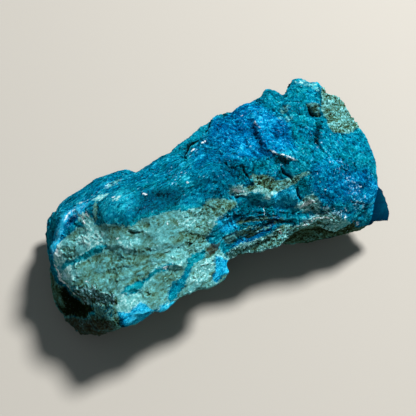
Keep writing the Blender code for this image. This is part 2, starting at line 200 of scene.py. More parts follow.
# lighter above 0, darker below: tone, feather, then an outline, or a line with its half width before it
tones = {
    "far left": (0.3, 5, [(-68, 8), (-56, 11), (-44, 11), (-38, 18), (-44, 28), (-66, 24)]),
    "mint left": (0.8, 3, [(-58.5, -1.5), (-51.5, 2), (-47, 1), (-44.5, -6), (-45, -9.5), (-52, -7.5)]),
    "mint under dome": (0.35, 1.5, [(-42, -9), (-32.5, -12.5), (-33, -15), (-42, -11.5)]),
    "mint flap": (0.5, 1, [(-34, -8.5), (-24, -13), (-24.5, -15), (-33.5, -10)]),
    "mint upper": (0.55, 2, [(-17, -11.5), (-7, -10), (5, -10), (5, -13), (-2.5, -17), (-16.5, -14.5)]),
    "mint middle": (0.5, 2, [(-29.5, -17), (-14.5, -20.5), (-16, -23.5), (-21, -26.5), (-30, -24)]),
    "mint right": (0.55, 1.5, [(-18, -27), (-12.5, -25.5), (-7, -26), (-7.5, -29), (-11.5, -32),
        (-17.5, -33.5), (-21, -33)]),
    "mint front": (0.65, 1.5, [(-48, -26), (-39, -30), (-37.5, -34.5), (-49, -34), (-49.5, -29)]),
    "mint left end": (0.35, 1.5, [(-66, -6.5), (-61, -9.5), (-55, -14.5), (-60.5, -16), (-65, -11)]),
    "olive middle": (-0.12, 2, [(-47, -18.5), (-41, -20.5), (-39, -24), (-42.5, -26), (-47.5, -23)]),
    "olive flake": (-0.2, 1, [(-31, -26.5), (-20, -27.5), (-20.5, -29.5), (-25.5, -31), (-32, -30)]),
    "olive small": (-0.4, 1.5, [(-24, -18), (-17, -17.5), (-20.5, -20)]),
    "olive right": (-0.3, 1.5, [(-17, -15.5), (-9, -17), (-7, -20), (-13.5, -21.5), (-17.5, -19.5)]),
    "olive band": (-0.15, 4, [(-51, -9.5), (-29, -18.5), (-30, -22), (-45.5, -17.5), (-52.5, -12)]),
    "olive top": (-0.4, 1.5, [(-12, -8), (-3, -9), (1.5, -13), (-2, -13.5), (-11, -11.5)]),
    "band": (-0.3, 1.5, layeredBand),
    "lump": (-0.3, 1, [(12, -10), (18.5, -13), (18, -17), (11, -15)]),
    "azure low": (0.6, 2, azureLow),
    "dome": (0.42, 2, dome),
    "dome foot": (0.05, 4, [(-44, -1), (-36, -2), (-27, -3), (-29, -8), (-36, -9), (-44, -5)]),
    # painted highlight along the dome's top
    "dome light": (0.55, 3, 1.6, [(-39, 5), (-37, 5.5), (-35, 4.5), (-32, 4)]),
    "dome notch": (-0.6, 1.2, [(-44, 7), (-42.8, 5), (-42.8, 1), (-44.2, 0.5), (-43.8, 4)]),
    "bowl": (-0.2, 5, bowl),
    "cyan by edge": (0.4, 4, [(28.5, 23), (36.5, 20), (33, 12.5), (28.5, 15)]),
    "cyan middle": (0.25, 4, [(17, 14), (22, 11.5), (24.5, 5.5), (16, 4)]),
    "cyan right": (0.25, 4, [(30, 11), (40, 0.5), (38, -4.5), (31, -1.5)]),
    "peak": (0.2, 4, [(52, 34), (60, 30), (58, 20.5), (47.5, 25)]),
    "below hollow": (0.25, 4, [(50.5, 2), (60.5, -1.5), (58, -6.5), (50, -4.5)]),
    "cobalt": (-0.2, 4, [(17.5, 36), (27, 27), (27.5, 22), (28, 10), (22.5, 16), (11, 20)]),
    "cobalt strip": (-0.25, 3, [(12.5, 4), (25, 2), (24, -1), (16, -1.5)]),
    "cobalt spot": (-0.35, 3, [(34.5, 12.5), (39.5, 10.5), (38, 7.5), (33.5, 8.5)]),
    "teal left": (-0.45, 3, [(6, 4.5), (10.5, 4), (14.5, 1), (17, -3), (16.5, -7), (11.5, -6), (7.5, -1)]),
    "teal lump": (-0.45, 2, [(28, 0), (33, -3.5), (30.5, -6), (28, -3.5)]),
    "teal front": (-0.1, 4, [(38.5, -16), (52, -23), (51.5, -26.5), (42, -23.5)]),
    "teal right": (-0.3, 3, [(55, -6), (60, -9.5), (58.5, -13.5), (53, -12)]),
    "teal cleft": (-0.4, 2.5, [(47.5, 6.5), (52, 5.5), (49.5, 0), (45, 0.5)]),
    "right deep": (0.05, 5, [(46.5, -11.5), (56, -12.5), (66, -18.5), (65, -26), (58, -29), (48, -26)]),
    "right light": (0.3, 3, [(56, -19), (62, -22.5), (57.5, -24.5), (54, -23)]),
    "corner light": (0.4, 2, [(57.5, -26.5), (64.5, -28.5), (63, -30.5), (57.5, -30)]),
    "hollow": (-0.45, 0.8, hollow),
    # painted shade: darker down the cleft
    "cleft": (-0.8, 1.5, 1.2, [(54, 11), (53, 7), (50, 3.5), (48, 2)]),
    "shoulder back": (0.0, 3, [(-58, 19), (-35, 16), (-25, 20), (-9, 24), (-20, 32), (-45, 32)]),
    "shoulder streak": (0.25, 2, 1.6, [(-53, 13), (-40.5, 13), (-35.5, 15), (-28, 18), (-20, 18)]),
    "ridge by crevice": (0.3, 2, 1.8, [(-5, 13), (-7, 4), (-8.5, -2), (-7.5, -6.5), (-6, -9.5)]),
    "azure ridge": (0.5, 2, azureRidge),
    # partly its own azure, partly painted light on a steep face the lamp barely reaches
    "azure brow": (1.0, 1, brow),
    "chip": (0.75, 1, chip),
    "azure patch": (0.8, 1, azurePatch),
    "middle vein": (0.6, 1, 1.6, middleVein),
    "wide vein": (0.15, 1, 2.0, wideVein),
    "vein end": (0.5, 1, veinEnd),
    "left vein": (0.75, 1, 1.6, leftVein),
    "brown corner": (-0.35, 1.5, brownCorner),
    "teal corner": (-0.45, 1, tealCorner),
    # painted shade: the hollow in the left end wall, near black
    "shadedCavity": (-1.7, 1, shadedCavity),
    # painted shade: the left foot, darkened as if in shadow
    "left foot": (-0.7, 1, leftFoot),
    "back ledge": (0.1, 1, backLedge),
    # painted shade: a dark line under the ledge by the crevice
    "under ledge": (-0.5, 1.5, 1.0, [(-2.5, 21), (-0.5, 24.5), (3, 26.3), (8, 26.5)]),
    "front rim": (-0.12, 1.5, [(2, -24), (19, -24), (31, -24), (39, -23.5), (54, -28.5), (43, -30),
        (10, -29)]),
    "rim": (0.55, 1, 1.7, rimLine),
    "lower crust": (0.5, 1, lowerCrust),
    "granular": (-0.4, 1.5, [(18, -4), (25, -7.5), (32, -9.5), (40, -10), (34, -12), (24, -11.5), (18, -9)]),
    "back corner": (-0.35, 3, backCorner),
    "back corner low": (-0.3, 2, [(61, 9), (67.5, 10), (78, 10), (71, 5.5), (64, 4.5), (58, 4)]),
    "back corner dark": (-0.4, 2, [(58.5, 15), (62, 17), (63.5, 13.5), (63, 10), (58.5, 10.5)]),
    # partly its own bright azure, partly painted light on a side turned away from the lamp
    "left rim": (1.0, 3, 2.5, leftRim),
    "left navy": (-0.6, 1.5, leftNavy),
    "scrape": (0.8, 1, scrape),
    # painted highlight on the dome's top
    "dome highlight": (0.75, 1, 1.2, domeHighlight),
    "bowl end": (-0.3, 2, [(-21.5, -1), (-18.5, 0.5), (-15.5, -0.5), (-16.5, -3.5)]),
    # painted shade: the shadow line beside the bright edge
    "edge crack": (-0.6, 1.2, 0.9, [(27.3, 17), (26.6, 10), (26.2, 4.5), (26.5, 3)]),
    "peak top": (0.45, 2, 1.8, [(53, 35), (58, 32), (61, 29), (61, 25)]),
    "back olive": (-0.35, 2, 1.6, [(60.5, 22), (63, 25.5), (66, 23.5), (67.5, 20)]),
    # painted shade: the left end wall, darkened as if in shadow
    "left wall": (-0.7, 2, 2.4, leftWall),
    "crust end": (-0.4, 2, [(-4.5, -9.5), (0.5, -8.5), (5.5, -9), (9.5, -12), (11.5, -15.5), (5, -15),
        (-1.5, -13.5)]),
    # painted light: the rim's face is lightened as if it faced up into the light
    "rim face": (0.45, 1.5, [(33, -24.5), (38.5, -25), (44, -27), (52, -29), (56.5, -29.5),
        (46.5, -29.5), (40, -27), (33, -26.5)]),
    "glass block": (-0.35, 1, glassBlock),
    "front corner": (0.4, 2, frontCorner),
    "flap lip": (0.45, 0.6, 0.5, [(-35.5, -8), (-33.5, -8.8), (-31, -9.6), (-29, -9.4)]),
    "pale step": (0.75, 1.5, paleStep),
    # painted light: the shaded hollow under the rim is lightened
    "under rim": (0.15, 2, [(13, -10), (18.5, -13), (23, -15), (29, -17), (29.5, -18.5), (21, -16.5),
        (15, -13.5)]),
    "crust right end": (0.5, 1.5, 1.6, [(-6.5, -14.5), (-4.5, -17), (-3, -20.5), (-1.5, -23.5), (-1.5, -26)]),
    "olive near": (-0.45, 2, [(-39, -22.5), (-33.5, -23), (-33, -26.5), (-37, -27.5), (-40, -26)]),
    "olive far": (-0.3, 1.5, [(-29.5, -19), (-25.5, -20.5), (-25.5, -23.5), (-29.5, -23)]),
    "rim dark": (-0.75, 1.5, [(20.5, -22), (25.5, -22.5), (25.5, -25), (20.5, -25)]),
    "granular back": (-0.75, 1.5, [(14, -6.5), (21, -7.5), (23, -11.5), (14.5, -9.5)]),
    "left end": (0.9, 1.5, [(-64.5, -1.5), (-62, -2), (-61.5, -7), (-60.5, -15), (-63, -15), (-65, -8)]),
    # painted light: shaded hollows under the dome, the granular crust and the rim are lightened
    "under dome": (0.55, 2, 1.4, [(-46.5, -7), (-43, -10.5), (-38.5, -14), (-35.5, -16)]),
    "under granular": (0.75, 1.5, 1.5, [(13, -10.5), (16.5, -12), (19.5, -13.8), (22.5, -14.8)]),
    "under rim right": (0.55, 1.5, 1.2, [(27.5, -16), (30.5, -18), (33.5, -19.5), (38, -20.5)]),
    "near facet": (0.6, 1.5, 1.4, [(61, -24), (64, -25.5), (63.5, -29.5)]),
    "cleft light": (0.3, 2, 1.5, [(53, 7), (54.5, 3), (53, -1.5)]),
    "crust end light": (0.5, 1, 1.2, [(-2, -25), (-1.5, -27), (-3, -29)]),
    "low corner light": (0.3, 1.5, 1.2, [(-52.5, -26.5), (-50.5, -29.5), (-51.5, -31)]),
    "end top": (0.35, 1.5, 1.4, [(-8.5, -14.5), (-5, -16)]),
    "azure mid": (0.7, 1.5, azureMid),
    # painted shade: the right facet, darkened as in shade
    "facet": (-0.8, 0.5, facet),
    "facet edge": (-0.35, 1, 0.5, facetEdge),
    "notch light": (0.3, 1.5, 1.2, [(-45.5, 1.5), (-45, -2), (-44, -4)]),
    "granular front": (-0.65, 1.5, [(21, -8), (28, -8.5), (28.5, -12), (22, -12)]),
}
# share of blue, from green teal at 0 to cobalt at 1
blues = {
    "shoulder": (0.35, 6, [(-66, 12), (-30, 8), (-4, 4), (-2, 22), (-40, 32), (-66, 24)]),
    "azure top": (0.65, 4, [(-1, 17), (5, 20.5), (11.5, 20), (18.5, 19), (21, 11.5), (19.5, 3),
        (12, 0.5), (4.5, 2), (-2.5, 6)]),
    "middle": (0.4, 5, [(-6, 7), (4, 3), (10, 2), (14, -6), (4, -8), (-6, -6)]),
    "cobalt": (0.95, 5, [(8, 22), (17.5, 38), (32, 34), (36, 26), (42, 14), (38, 0), (24, 0), (12, 4)]),
    "dome": (0.25, 2, [(-43.5, 3), (-39, 9), (-31.5, 9), (-27, -0.5), (-29.5, -5.5), (-36, -7), (-43, -2)]),
    "bowl": (0.3, 3, [(-28, 2), (-23, 1.5), (-13.5, -1), (-11, -5.5), (-16.5, -8), (-27.5, -7)]),
    "left rim": (0.9, 3, 3.0, leftRim),
    "right blue": (0.65, 4, [(41.5, -8), (49, -6), (55, -8.5), (58, -12.5), (53.5, -18), (49, -23.5),
        (41.5, -22), (38.5, -16)]),
    "right block": (0.85, 5, [(50.5, -15.5), (57.5, -13), (66, -14), (70, -21), (66, -29), (57, -31),
        (51, -27), (49, -20)]),
    "right middle": (0.3, 5, [(44, 10), (70, 4), (70, -8), (46, -6)]),
    "azure brow": (0.9, 1.5, brow),
    "azure ridge": (0.4, 2, azureRidge),
    "wide vein": (0.2, 1.5, 2.0, [(-31, -37), (-25, -31), (-21, -30), (-17, -25), (-12, -23)]),
    "azure patch": (0.8, 1, azurePatch),
    "chip": (0.8, 1, chip),
    "stripe": (1.0, 0.8, 1.0, [(2, -23), (11, -23), (18, -21.5), (24, -19.5)]),
    "left vein": (-0.6, 0.8, 1.6, leftVein),
    "middle vein": (-0.6, 0.8, 1.6, middleVein),
    "vein end": (-0.6, 1, veinEnd),
    "crust edge": (-0.3, 2, 1.5, [(-37, -7), (-34, -8), (-30, -7), (-25, -7.5), (-19, -8), (-14, -9),
        (-6, -9.5)]),
    "left corner": (0.0, 2, [(-77, -6), (-65, -8), (-50, -26), (-48, -44), (-86, -36)]),
    "azure low": (0.65, 2, azureLow),
    "left navy": (0.9, 1.5, leftNavy),
    "left wall": (0.05, 2, 2.6, leftWall),
    "front corner": (0.35, 3, frontCorner),
    "azure mid": (0.55, 2, azureMid),
    "facet": (0.7, 0.5, facet),
    "facet edge": (0.2, 1, 0.5, facetEdge),
}
# share of broken, crumbly crust
rubble = {
    "front rim": (1.0, 2, [(-1, -23), (19, -22.5), (31, -23), (39, -22.5), (54, -27.5), (43, -31), (0, -28)]),
    "rim": (0.6, 1.5, 1.5, [(7.5, -7.5), (12, -8.3), (17.5, -11), (21, -13)]),
    "granular": (0.9, 1, [(18, -4), (25, -7.5), (32, -9.5), (40, -10), (34, -12), (24, -12.5), (17, -11)]),
    "lower crust": (0.9, 1.5, [(31, -18), (38, -17), (42, -21), (41, -23), (35, -21)]),
    "back corner": (1.0, 2, backCorner),
    "face right": (0.5, 4, [(-16, -8), (4, -8), (6, -13), (-6, -22), (0, -28), (-20, -36), (-16, -22)]),
    "corner": (0.9, 1, brownCorner),
    "foot": (0.8, 1, leftFoot),
}
# share of small white bruises and painted glints (sparkles)
worn = {
    "left rim": (0.8, 3, 2.5, leftRim),
    "left end": (0.9, 1, 1.2, [(-64, 0), (-65, -4), (-65.5, -8), (-63, -13)]),
    "crevice": (0.6, 2, 1.6, [(-3, 14), (2, 16.5), (7, 18)]),
    "below hollow": (0.5, 3, 3.0, [(46, 5), (51, -1), (55, -5)]),
    "sparks right": (0.5, 4, 3.0, [(50, 3), (53, -9), (57, -17), (58, -27)]),
    "shoulder specks": (0.6, 3, 2.5, [(-14, 14), (-9, 5), (-13, 1.5), (-8.5, -1)]),
    "fold": (0.6, 2, 2.0, [(-53, 13), (-40.5, 13), (-35.5, 15), (-28, 18)]),
    "cobalt": (0.35, 4, [(27, 30), (40, 26), (38, 4), (28, 2)]),
    "mint": (0.4, 3, [(-42, -9), (-6, -10), (4, -12), (-16, -24), (-30, -24)]),
    "corner": (0.7, 1, brownCorner),
    "front rim": (0.8, 2, 1.5, [(30, -24), (39, -23), (46, -25), (54, -29)]),
    "rim tip": (0.6, 1, 1.0, [(8, -7.5), (13, -8.5)]),
    "right scatter": (0.7, 2, 2.5, [(55, -17), (57, -21), (56.5, -25), (60, -27)]),
}
# brown and purple staining
stains = {
    "corner": (0.4, 1, brownCorner),
    # partly painted shade: brown darkening on the shadowed left foot
    "foot": (0.6, 2, [(-77, -6), (-72, -17.5), (-63, -25.5), (-53.5, -34), (-49, -44), (-86, -36)]),
    "chunk": (1.0, 0.8, [(-9, -23), (-6, -21.5), (-2, -21.5), (-5, -24), (-8, -25)]),
    "band": (0.4, 1, 0.8, [(3, -16.5), (8.5, -16.5), (13.5, -17.5), (20, -19), (26.5, -20)]),
    "rim tip": (0.3, 0.5, 0.4, [(7.5, -8), (8.3, -7.8)]),
    "purple spot": (0.8, 0.8, 0.8, [(16.5, -5), (17.5, -5.5)]),
    "bowl spot": (0.45, 1.5, 0.8, [(-23, -1.5), (-21, -1.5)]),
    "left": (0.5, 1.5, 1.0, [(-57, -17.5), (-55, -18)]),
}
# glassy places, smooth and shiny
glassy = {
    "dome": (0.8, 3, dome),
    "bowl": (0.9, 3, bowl),
}
# places of even colour, from 0 to 1
calms = {
    "brow": (0.6, 1, brow),
    "chip": (0.35, 1, [(-7.5, -27.5), (-0.5, -26), (4, -28), (4, -32), (-8.5, -34.5), (-10.5, -33)]),
    "azure patch": (0.6, 1, azurePatch),
    "azure ridge": (0.5, 2, azureRidge),
    "left vein": (0.7, 1, 1.6, leftVein),
    "middle vein": (0.6, 1, 1.6, middleVein),
    "wide vein": (0.5, 1, 2.0, wideVein),
    "vein end": (0.7, 1, [(-19, -26.3), (-17.5, -24), (-13.5, -22.5), (-9, -22.5), (-14.5, -26.2),
        (-18, -27.3)]),
    "left rim": (0.6, 2, 2.5, leftRim),
    "azure low": (0.4, 2, azureLow),
    "back ledge": (0.5, 1, backLedge),
    "middle": (0.35, 4, [(-6, 8), (4, 10), (12, 4), (12, -4), (5, -7), (-6, -4)]),
    "glass block": (0.6, 1, glassBlock),
}
# partly pale rims, partly painted highlights where edges catch the light, with a few painted glints
paleEdgesAndHighlights = {  # bright broken edges: half width and line
    "short edge": (0.2, [(28.6, 19.5), (28.9, 17), (29.7, 14.5)]),
    "foot edge": (0.2, [(27.5, 2.5), (30.5, -0.8), (32.8, -2.5), (37.3, -4.2)]),
    "back edge": (0.1, [(24, 25), (28, 24.5)]),
    "left rim": (0.3, [(-58, 8), (-56, 9.3), (-53.5, 10.5), (-51.5, 10.8)]),
    "left rim low": (0.4, [(-65.5, -1), (-64, -0.5), (-64, -3)]),
    "left shoulder": (0.35, [(-50, 11.5), (-47.5, 12)]),
    "white spot": (0.2, [(-25.7, 1.3), (-24.3, 0.7)]),
    # painted glints in the dome's highlight
    "dome glints": (0.25, [(-37.5, 6), (-35.5, 5.5)]),
    "lower crust": (0.35, [(33, -19.5), (36, -18.5), (39.5, -20)]),
    "front rim": (0.3, [(22, -23), (23.5, -25)]),
    "front rim right": (0.25, [(30, -24), (33, -24.7), (36, -24.5), (38, -24), (42, -25), (46, -27)]),
    "vein edge": (0.15, [(-30, -24.6), (-27, -24.8), (-23, -25)]),
    "left end": (0.3, [(-67, -2), (-67.3, -5), (-67, -8), (-65, -11.5), (-63.5, -14)]),
    "front wall": (0.1, [(19.5, -13.5), (19, -15), (17.5, -18)]),
    "speck": (0.25, [(23, 11.5), (23.6, 11.5)]),
    "speck low": (0.25, [(21.5, 7), (22.1, 7)]),
    "speck left": (0.3, [(-8.7, -0.5), (-8.3, -1.5)]),
    "crevice": (0.4, [(-0.8, 16), (0.5, 17), (1.7, 17.4)]),
    "crevice far": (0.35, [(4.7, 18.4), (5.6, 19), (6.6, 19)]),
    "pale step": (0.3, [(-50.5, 7.2), (-50, 4.5), (-49.3, 2)]),
    "pale step right": (0.3, [(-48.5, 6.8), (-47.6, 4)]),
    "rim tip": (0.25, [(7.6, -7.4), (9.5, -7.9), (12, -8.6), (14.5, -9.4)]),
    "dash right": (0.25, [(59, -19.5), (60.5, -20)]),
    "dash right low": (0.2, [(60.5, -23.3), (60.5, -24.7)]),
    "dash right foot": (0.2, [(59.6, -25.3), (59.4, -26.2)]),
    "tick right": (0.0, [(57.5, -16.8), (57, -18.2)]),
    "dot right": (0.25, [(44, -17.5), (44.5, -18)]),
    "corner cluster": (0.15, [(51.3, -24.8), (52, -25.5), (53, -26.7)]),
    "corner cluster low": (0.2, [(51, -26.5), (51.2, -27.5), (50.5, -28.5)]),
    "corner dash": (0.3, [(56, -29), (57.5, -30)]),
    "hair right": (-0.1, [(43, -11.5), (43.2, -13), (43, -14.5)]),
    "hair far right": (-0.1, [(52, -3.5), (51, -6), (50.5, -8.8)]),
    "crust spot left": (0.3, [(-40.7, -9.3), (-40, -10)]),
    "crust spot": (0.3, [(-20.5, -11.3), (-21, -12.5)]),
    "crust spot high": (0.2, [(-13.6, -8), (-12.8, -8.6)]),
    "brown corner": (0.15, [(-58, -17.5), (-55.5, -20), (-54, -23)]),
}
# carved, and painted near black as shade
shadedClefts = {  # clefts and deep lines: half width and line
    "crevice": (0.8, [(-3.8, 12.5), (-3.2, 16), (-2, 19.5), (-0.3, 23), (1.5, 25), (4.5, 25.6),
        (6.5, 25), (8.5, 23.6), (10, 24.9), (12, 28.5), (14.5, 34.5), (17, 38.5)]),
    "shell": (0.3, [(14, -0.5), (14.5, -3), (15.5, -4.5), (17, -6)]),
    "between lumps": (0.35, [(30.3, -5), (31, -8), (32.5, -11)]),
    "right of azure": (0.4, [(33.5, -13), (33, -15), (34, -17)]),
    "rim foot": (0.35, [(8, -9), (10, -9.7), (12, -10)]),
    "peak cleft": (0.9, [(50, 33), (51.5, 35.3), (54, 38.5)]),
    "under flap": (0.3, [(-35.5, -9.2), (-33.5, -10.2), (-31.5, -11)]),
    "hollow edge": (0.35, [(52.6, 19.8), (54, 17.8), (55.8, 15.6), (57, 14.3)]),
}
# small ledges cut sharp again: drop and reach in mm, then a line whose low side is on its right
ledges = {
    "flap": (0.6, 3, [(-36, -8), (-35, -8.5), (-33.5, -9.5), (-31.5, -10.5), (-29, -10.5)]),
    "upper face": (0.2, 4, [(-48, -9.5), (-45.5, -10), (-41, -12), (-35, -16.5), (-28.5, -18), (-22, -18)]),
    "middle face": (0.3, 4, [(-54, -16), (-51, -17), (-43.5, -18.5), (-38.5, -20.5), (-30, -21)]),
    "flake": (0.3, 5, [(-33, -27), (-31.5, -26), (-26.5, -25.3), (-22.5, -25.3), (-19.5, -26)]),
    "lower face": (0.3, 3, [(-47, -23), (-45.5, -23.5), (-42, -24.5), (-39, -24), (-32.5, -25)]),
    "right face": (0.4, 3, [(-18, -15), (-14, -15.5), (-9.5, -18), (-5, -19)]),
    "right face low": (0.3, 3, [(-19, -20), (-15.5, -21.5), (-11.5, -21.5), (-7.5, -21.5)]),
    "upper right face": (0.3, 3, [(-13, -7), (-8, -7.3), (-4, -9), (0.5, -12)]),
    "rim": (0.35, 3, [(7, -9.2), (12, -10), (15, -11), (18, -12.8), (21, -14.5), (25, -15)]),
    "band top": (0.7, 3, [(-1, -15), (7, -15), (13, -16), (19, -17), (25, -17), (30, -19)]),
    "band brown": (0.7, 2, [(3, -17), (8.5, -17), (13.5, -18), (20, -19.5), (26.5, -20.5)]),
    "band middle": (0.9, 2.5, [(-2, -20), (5, -20), (12, -21), (17, -20), (24, -20), (30, -21.5)]),
    "band foot": (0.8, 2, [(0, -22), (8, -22), (15, -21.8), (20, -22.5)]),
    "pale layer": (1.0, 2.5, [(2, -25), (7, -24.8), (11, -24.5), (19, -24.5), (24, -23)]),
    "lower crust": (0.9, 2.5, [(31, -20), (34, -20.5), (38, -20), (42, -23), (46, -24)]),
    "short edge": (0.2, 4, [(29.5, 24), (28.6, 19), (29.3, 14)]),
    "foot edge": (0.4, 4, [(26.5, 4), (28.5, 1.5), (32.5, -2.5), (37, -4.5)]),
    "crevice": (0.8, 4, [(17, 38.5), (10, 25.5), (6, 25.5), (1, 24.5), (-2.5, 18.5), (-4.5, 12)]),
    "ridge left": (0.6, 4, [(22, 14), (21.5, 7.5), (22.5, 3.5), (24, 0)]),
    "ridge back": (0.6, 4, [(45, 25.5), (44, 19), (44.5, 13.5)]),
    "ridge right": (0.7, 4, [(50, 4.5), (50, -0.5), (51, -4)]),
    "fold": (0.6, 5, [(-20, 20), (-30.5, 17.5), (-35.5, 14.5), (-40.5, 11.5), (-46.5, 12), (-56, 12)]),
}


def insideOutline(plan, outline):
    # distance to a closed outline, above 0 inside it
    corners = np.array(outline, float)
    nearest, inside = np.full(len(plan), np.inf), np.zeros(len(plan), bool)
    for start, end in zip(corners, np.roll(corners, -1, axis=0)):
        way = end - start
        share = np.clip((plan - start) @ way / (way @ way), 0, 1)
        nearest = np.minimum(nearest, np.linalg.norm(plan - start - share[:, None] * way, axis=1))
        if way[1]:
            crossed = (start[1] > plan[:, 1]) != (end[1] > plan[:, 1])
            inside ^= crossed & (plan[:, 0] < start[0] + (plan[:, 1] - start[1]) * way[0] / way[1])
    return np.where(inside, nearest, -nearest)


def insideLine(plan, halfWidth, line):
    # distance inside a line drawn with that half width, thinner towards both ends
    spots = np.array(line, float)
    lengths = np.linalg.norm(np.diff(spots, axis=0), axis=1)
    before = np.concatenate(([0], np.cumsum(lengths))) / lengths.sum()
    deepest = np.full(len(plan), -np.inf)
    for i, (start, end) in enumerate(zip(spots, spots[1:])):
        way = end - start
        share = np.clip((plan - start) @ way / (way @ way), 0, 1)
        far = np.linalg.norm(plan - start - share[:, None] * way, axis=1)
        run = blend(before[i], before[i + 1], share)
        width = halfWidth * (0.25 + 0.75 * smooth(run * 5) * smooth((1 - run) * 5))
        deepest = np.maximum(deepest, width - far)
    return deepest


def insideMark(plan, line, halfWidth=None):
    return insideOutline(plan, line) if halfWidth is None else insideLine(plan, halfWidth, line)


def painted(plan, marks, start):
    # later marks cover earlier ones, each fading over its feather
    field = start
    for value, feather, *halfWidth, line in marks.values():
        share = smooth(insideMark(plan, line, *halfWidth) / feather + 0.5)
        field = blend(field, value, share)
    return field


def ledgeDrop(plan, drop, reach, line):
    # how far a ledge lowers the skin on the right of its line: a sharp step that climbs back over its reach
    spots = np.array(line, float)
    nearest, side = np.full(len(plan), np.inf), np.zeros(len(plan))
    for start, end in zip(spots, spots[1:]):
        way = end - start
        share = np.clip((plan - start) @ way / (way @ way), 0, 1)
        off = plan - start - share[:, None] * way
        far = np.linalg.norm(off, axis=1)
        side = np.where(far < nearest, far * np.where(off[:, 0] * way[1] > off[:, 1] * way[0], 1, -1), side)
        nearest = np.minimum(nearest, far)
    first, last = spots[1] - spots[0], spots[-1] - spots[-2]
    afterStart = (plan - spots[0]) @ first / np.linalg.norm(first)
    beforeEnd = (spots[-1] - plan) @ last / np.linalg.norm(last)
    inside = np.minimum(afterStart, beforeEnd)
    lip = 0.3 * np.clip(1 + side / reach, 0, 1) * (side <= 0)  # the high side stands a little proud
    step = smooth(side / 0.5) * np.clip(1 - side / reach, 0, 1) - lip
    return drop * step * smooth(inside / 2)


# flat breaks: a spot on each in mm, and the way it faces
facetPlane = (np.array((65.0, -25.0, 35.0)), np.array((0.414, -0.806, 0.422)))
underPlane = (np.array((64.3, -30.7, 24.8)), np.array((-0.296, -0.863, -0.410)))  # breaks off under the facet
sidePlanes = [  # and beside it, in three steps from the top
    (np.array((68.1, -22.0, 37.7)), np.array((0.909, -0.014, 0.418))),
    (np.array((71.4, -24.0, 30.6)), np.array((0.914, -0.197, 0.354))),
    (np.array((74.2, -29.0, 18.4)), np.array((0.778, -0.609, 0.154))),
]
seenWalls = [  # outlines in which steep sides are painted like the top
    [(-84, 18), (-70, 18), (-68.5, -3), (-65, -4), (-58, -18), (-50, -30), (-46, -46), (-84, -46)],
    [(-7, 11), (-8, 30), (12, 44), (20, 40), (12, 26), (8, 21), (1, 15)],
    [(46, 31), (48, 42), (58, 42), (55, 34), (51, 31)],
]


paint = {  # how the marks above lie on the skin
    # each wobble's grain and depth in mm, then its two seeds
    "wander": ((5, 0.8, 3.1, 17.7), (1.6, 0.35, 5.3, 29.1)),
    "field": 100,  # mm from the middle, more than the stone reaches
    "wallFrom": (6, 3),  # mm below the top where steep sides start, at the left and at the right
    "wallFade": 3,
    "facetFoot": 13,  # mm, the facet lies above this height
    "facetDepth": 1.2,  # mm that a point may be off the facet's plane
    "outside": -9,  # stands for far outside a mark
    # painted shade: sides past these two limits are darkened and crusted
    "shadedLeftSide": -46,  # mm, sides beyond this are darker and crusted
    "shadedFrontSide": 10,  # mm in front of the middle, the same
}


def fieldsOn(points):
    # everything that the finish needs to know at each point of the skin
    spots = points / mm
    wander = 0
    for grain, depth, *seeds in paint["wander"]:
        wander = wander + np.stack([perlin(spots / grain, seed) for seed in seeds], 1) * depth
    plan = spots[:, :2] + wander
    columns = tuple(np.floor(spots[:, :2] + paint["field"]).astype(int).T)
    top = np.zeros((2 * paint["field"],) * 2)
    np.maximum.at(top, columns, spots[:, 2])
    reach = blend(*paint["wallFrom"], smooth((spots[:, 0] + 4) / 8))
    under = smooth((top[columns] - spots[:, 2] - reach) / paint["wallFade"])
    nothing = np.zeros(len(points))
    drawn = turned(spots, 4, 2.5)
    crust = nothing + paint["outside"]
    for cap, *halfWidth, line in crustAreas.values():
        crust = np.maximum(crust, np.minimum(insideMark(plan, line, *halfWidth), cap))
    for halfWidth, line in crustCuts.values():
        crust = np.minimum(crust, -insideMark(plan, line, halfWidth))
    wallCrust = perlin(drawn / 9, 7.7, 3) * 5 - 0.6
    tone = painted(plan, tones, nothing)
    # steep sides get a random tone set darker than the top: partly their own colour, partly painted shade
    wallToneAndShade = perlin(drawn / 7, 11.0, 2) * 0.5 - 0.35
    blue = painted(plan, blues, nothing + 0.2)
    wallBlue = np.clip(0.25 + perlin(spots / 14, 21.0) * 0.7, 0, 1)
    white = np.max([insideLine(plan, *mark) for mark in paleEdgesAndHighlights.values()], axis=0)
    dark = np.max([insideLine(plan, *mark) for mark in shadedClefts.values()], axis=0)
    shine = painted(plan, glassy, nothing) * (1 - under)
    calm = np.maximum(shine * 0.4, painted(plan, calms, nothing) * (1 - under))
    onPlane = paint["facetDepth"] - np.abs((spots - facetPlane[0]) @ facetPlane[1])
    flatFace = np.minimum(insideOutline(spots[:, :2], facet), onPlane)
    flatFace = np.where(spots[:, 2] > paint["facetFoot"], flatFace, paint["outside"])
    under *= flatFace < 0
    for area in seenWalls:
        under *= 1 - smooth(insideOutline(spots[:, :2], area) / 2 + 0.5) * smooth((spots[:, 2] - 4) / 4)
    # painted shade: sides at the far left and at the front are darkened further, and crusted
    shadedLeftSide = smooth((paint["shadedLeftSide"] - spots[:, 0]) / 12) * under
    shadedFrontSide = smooth((-spots[:, 1] - paint["shadedFrontSide"]) / 10) * under
    return {
        "crust": blend(crust, wallCrust + 3 * shadedLeftSide + 3.5 * shadedFrontSide, under),
        "tone": blend(tone, wallToneAndShade, under) - 0.3 * shadedLeftSide - 0.45 * shadedFrontSide,
        "blue": blend(blue, wallBlue, under) * (1 - shadedLeftSide) * (1 - 0.85 * shadedFrontSide),
        "rubble": blend(painted(plan, rubble, nothing), 0.3, under),
        "worn": blend(painted(plan, worn, nothing + 0.25), 0.1, under),
        "stain": painted(plan, stains, nothing) * (1 - under),
        "glassy": shine,
        "calm": calm,
        "facet": flatFace,
        "band": smooth(insideOutline(plan, layeredBand) / 3 + 0.5) * (1 - under),
        "white": blend(white, -5, under),
        "dark": blend(dark, -5, under),
        "under": under,
    }


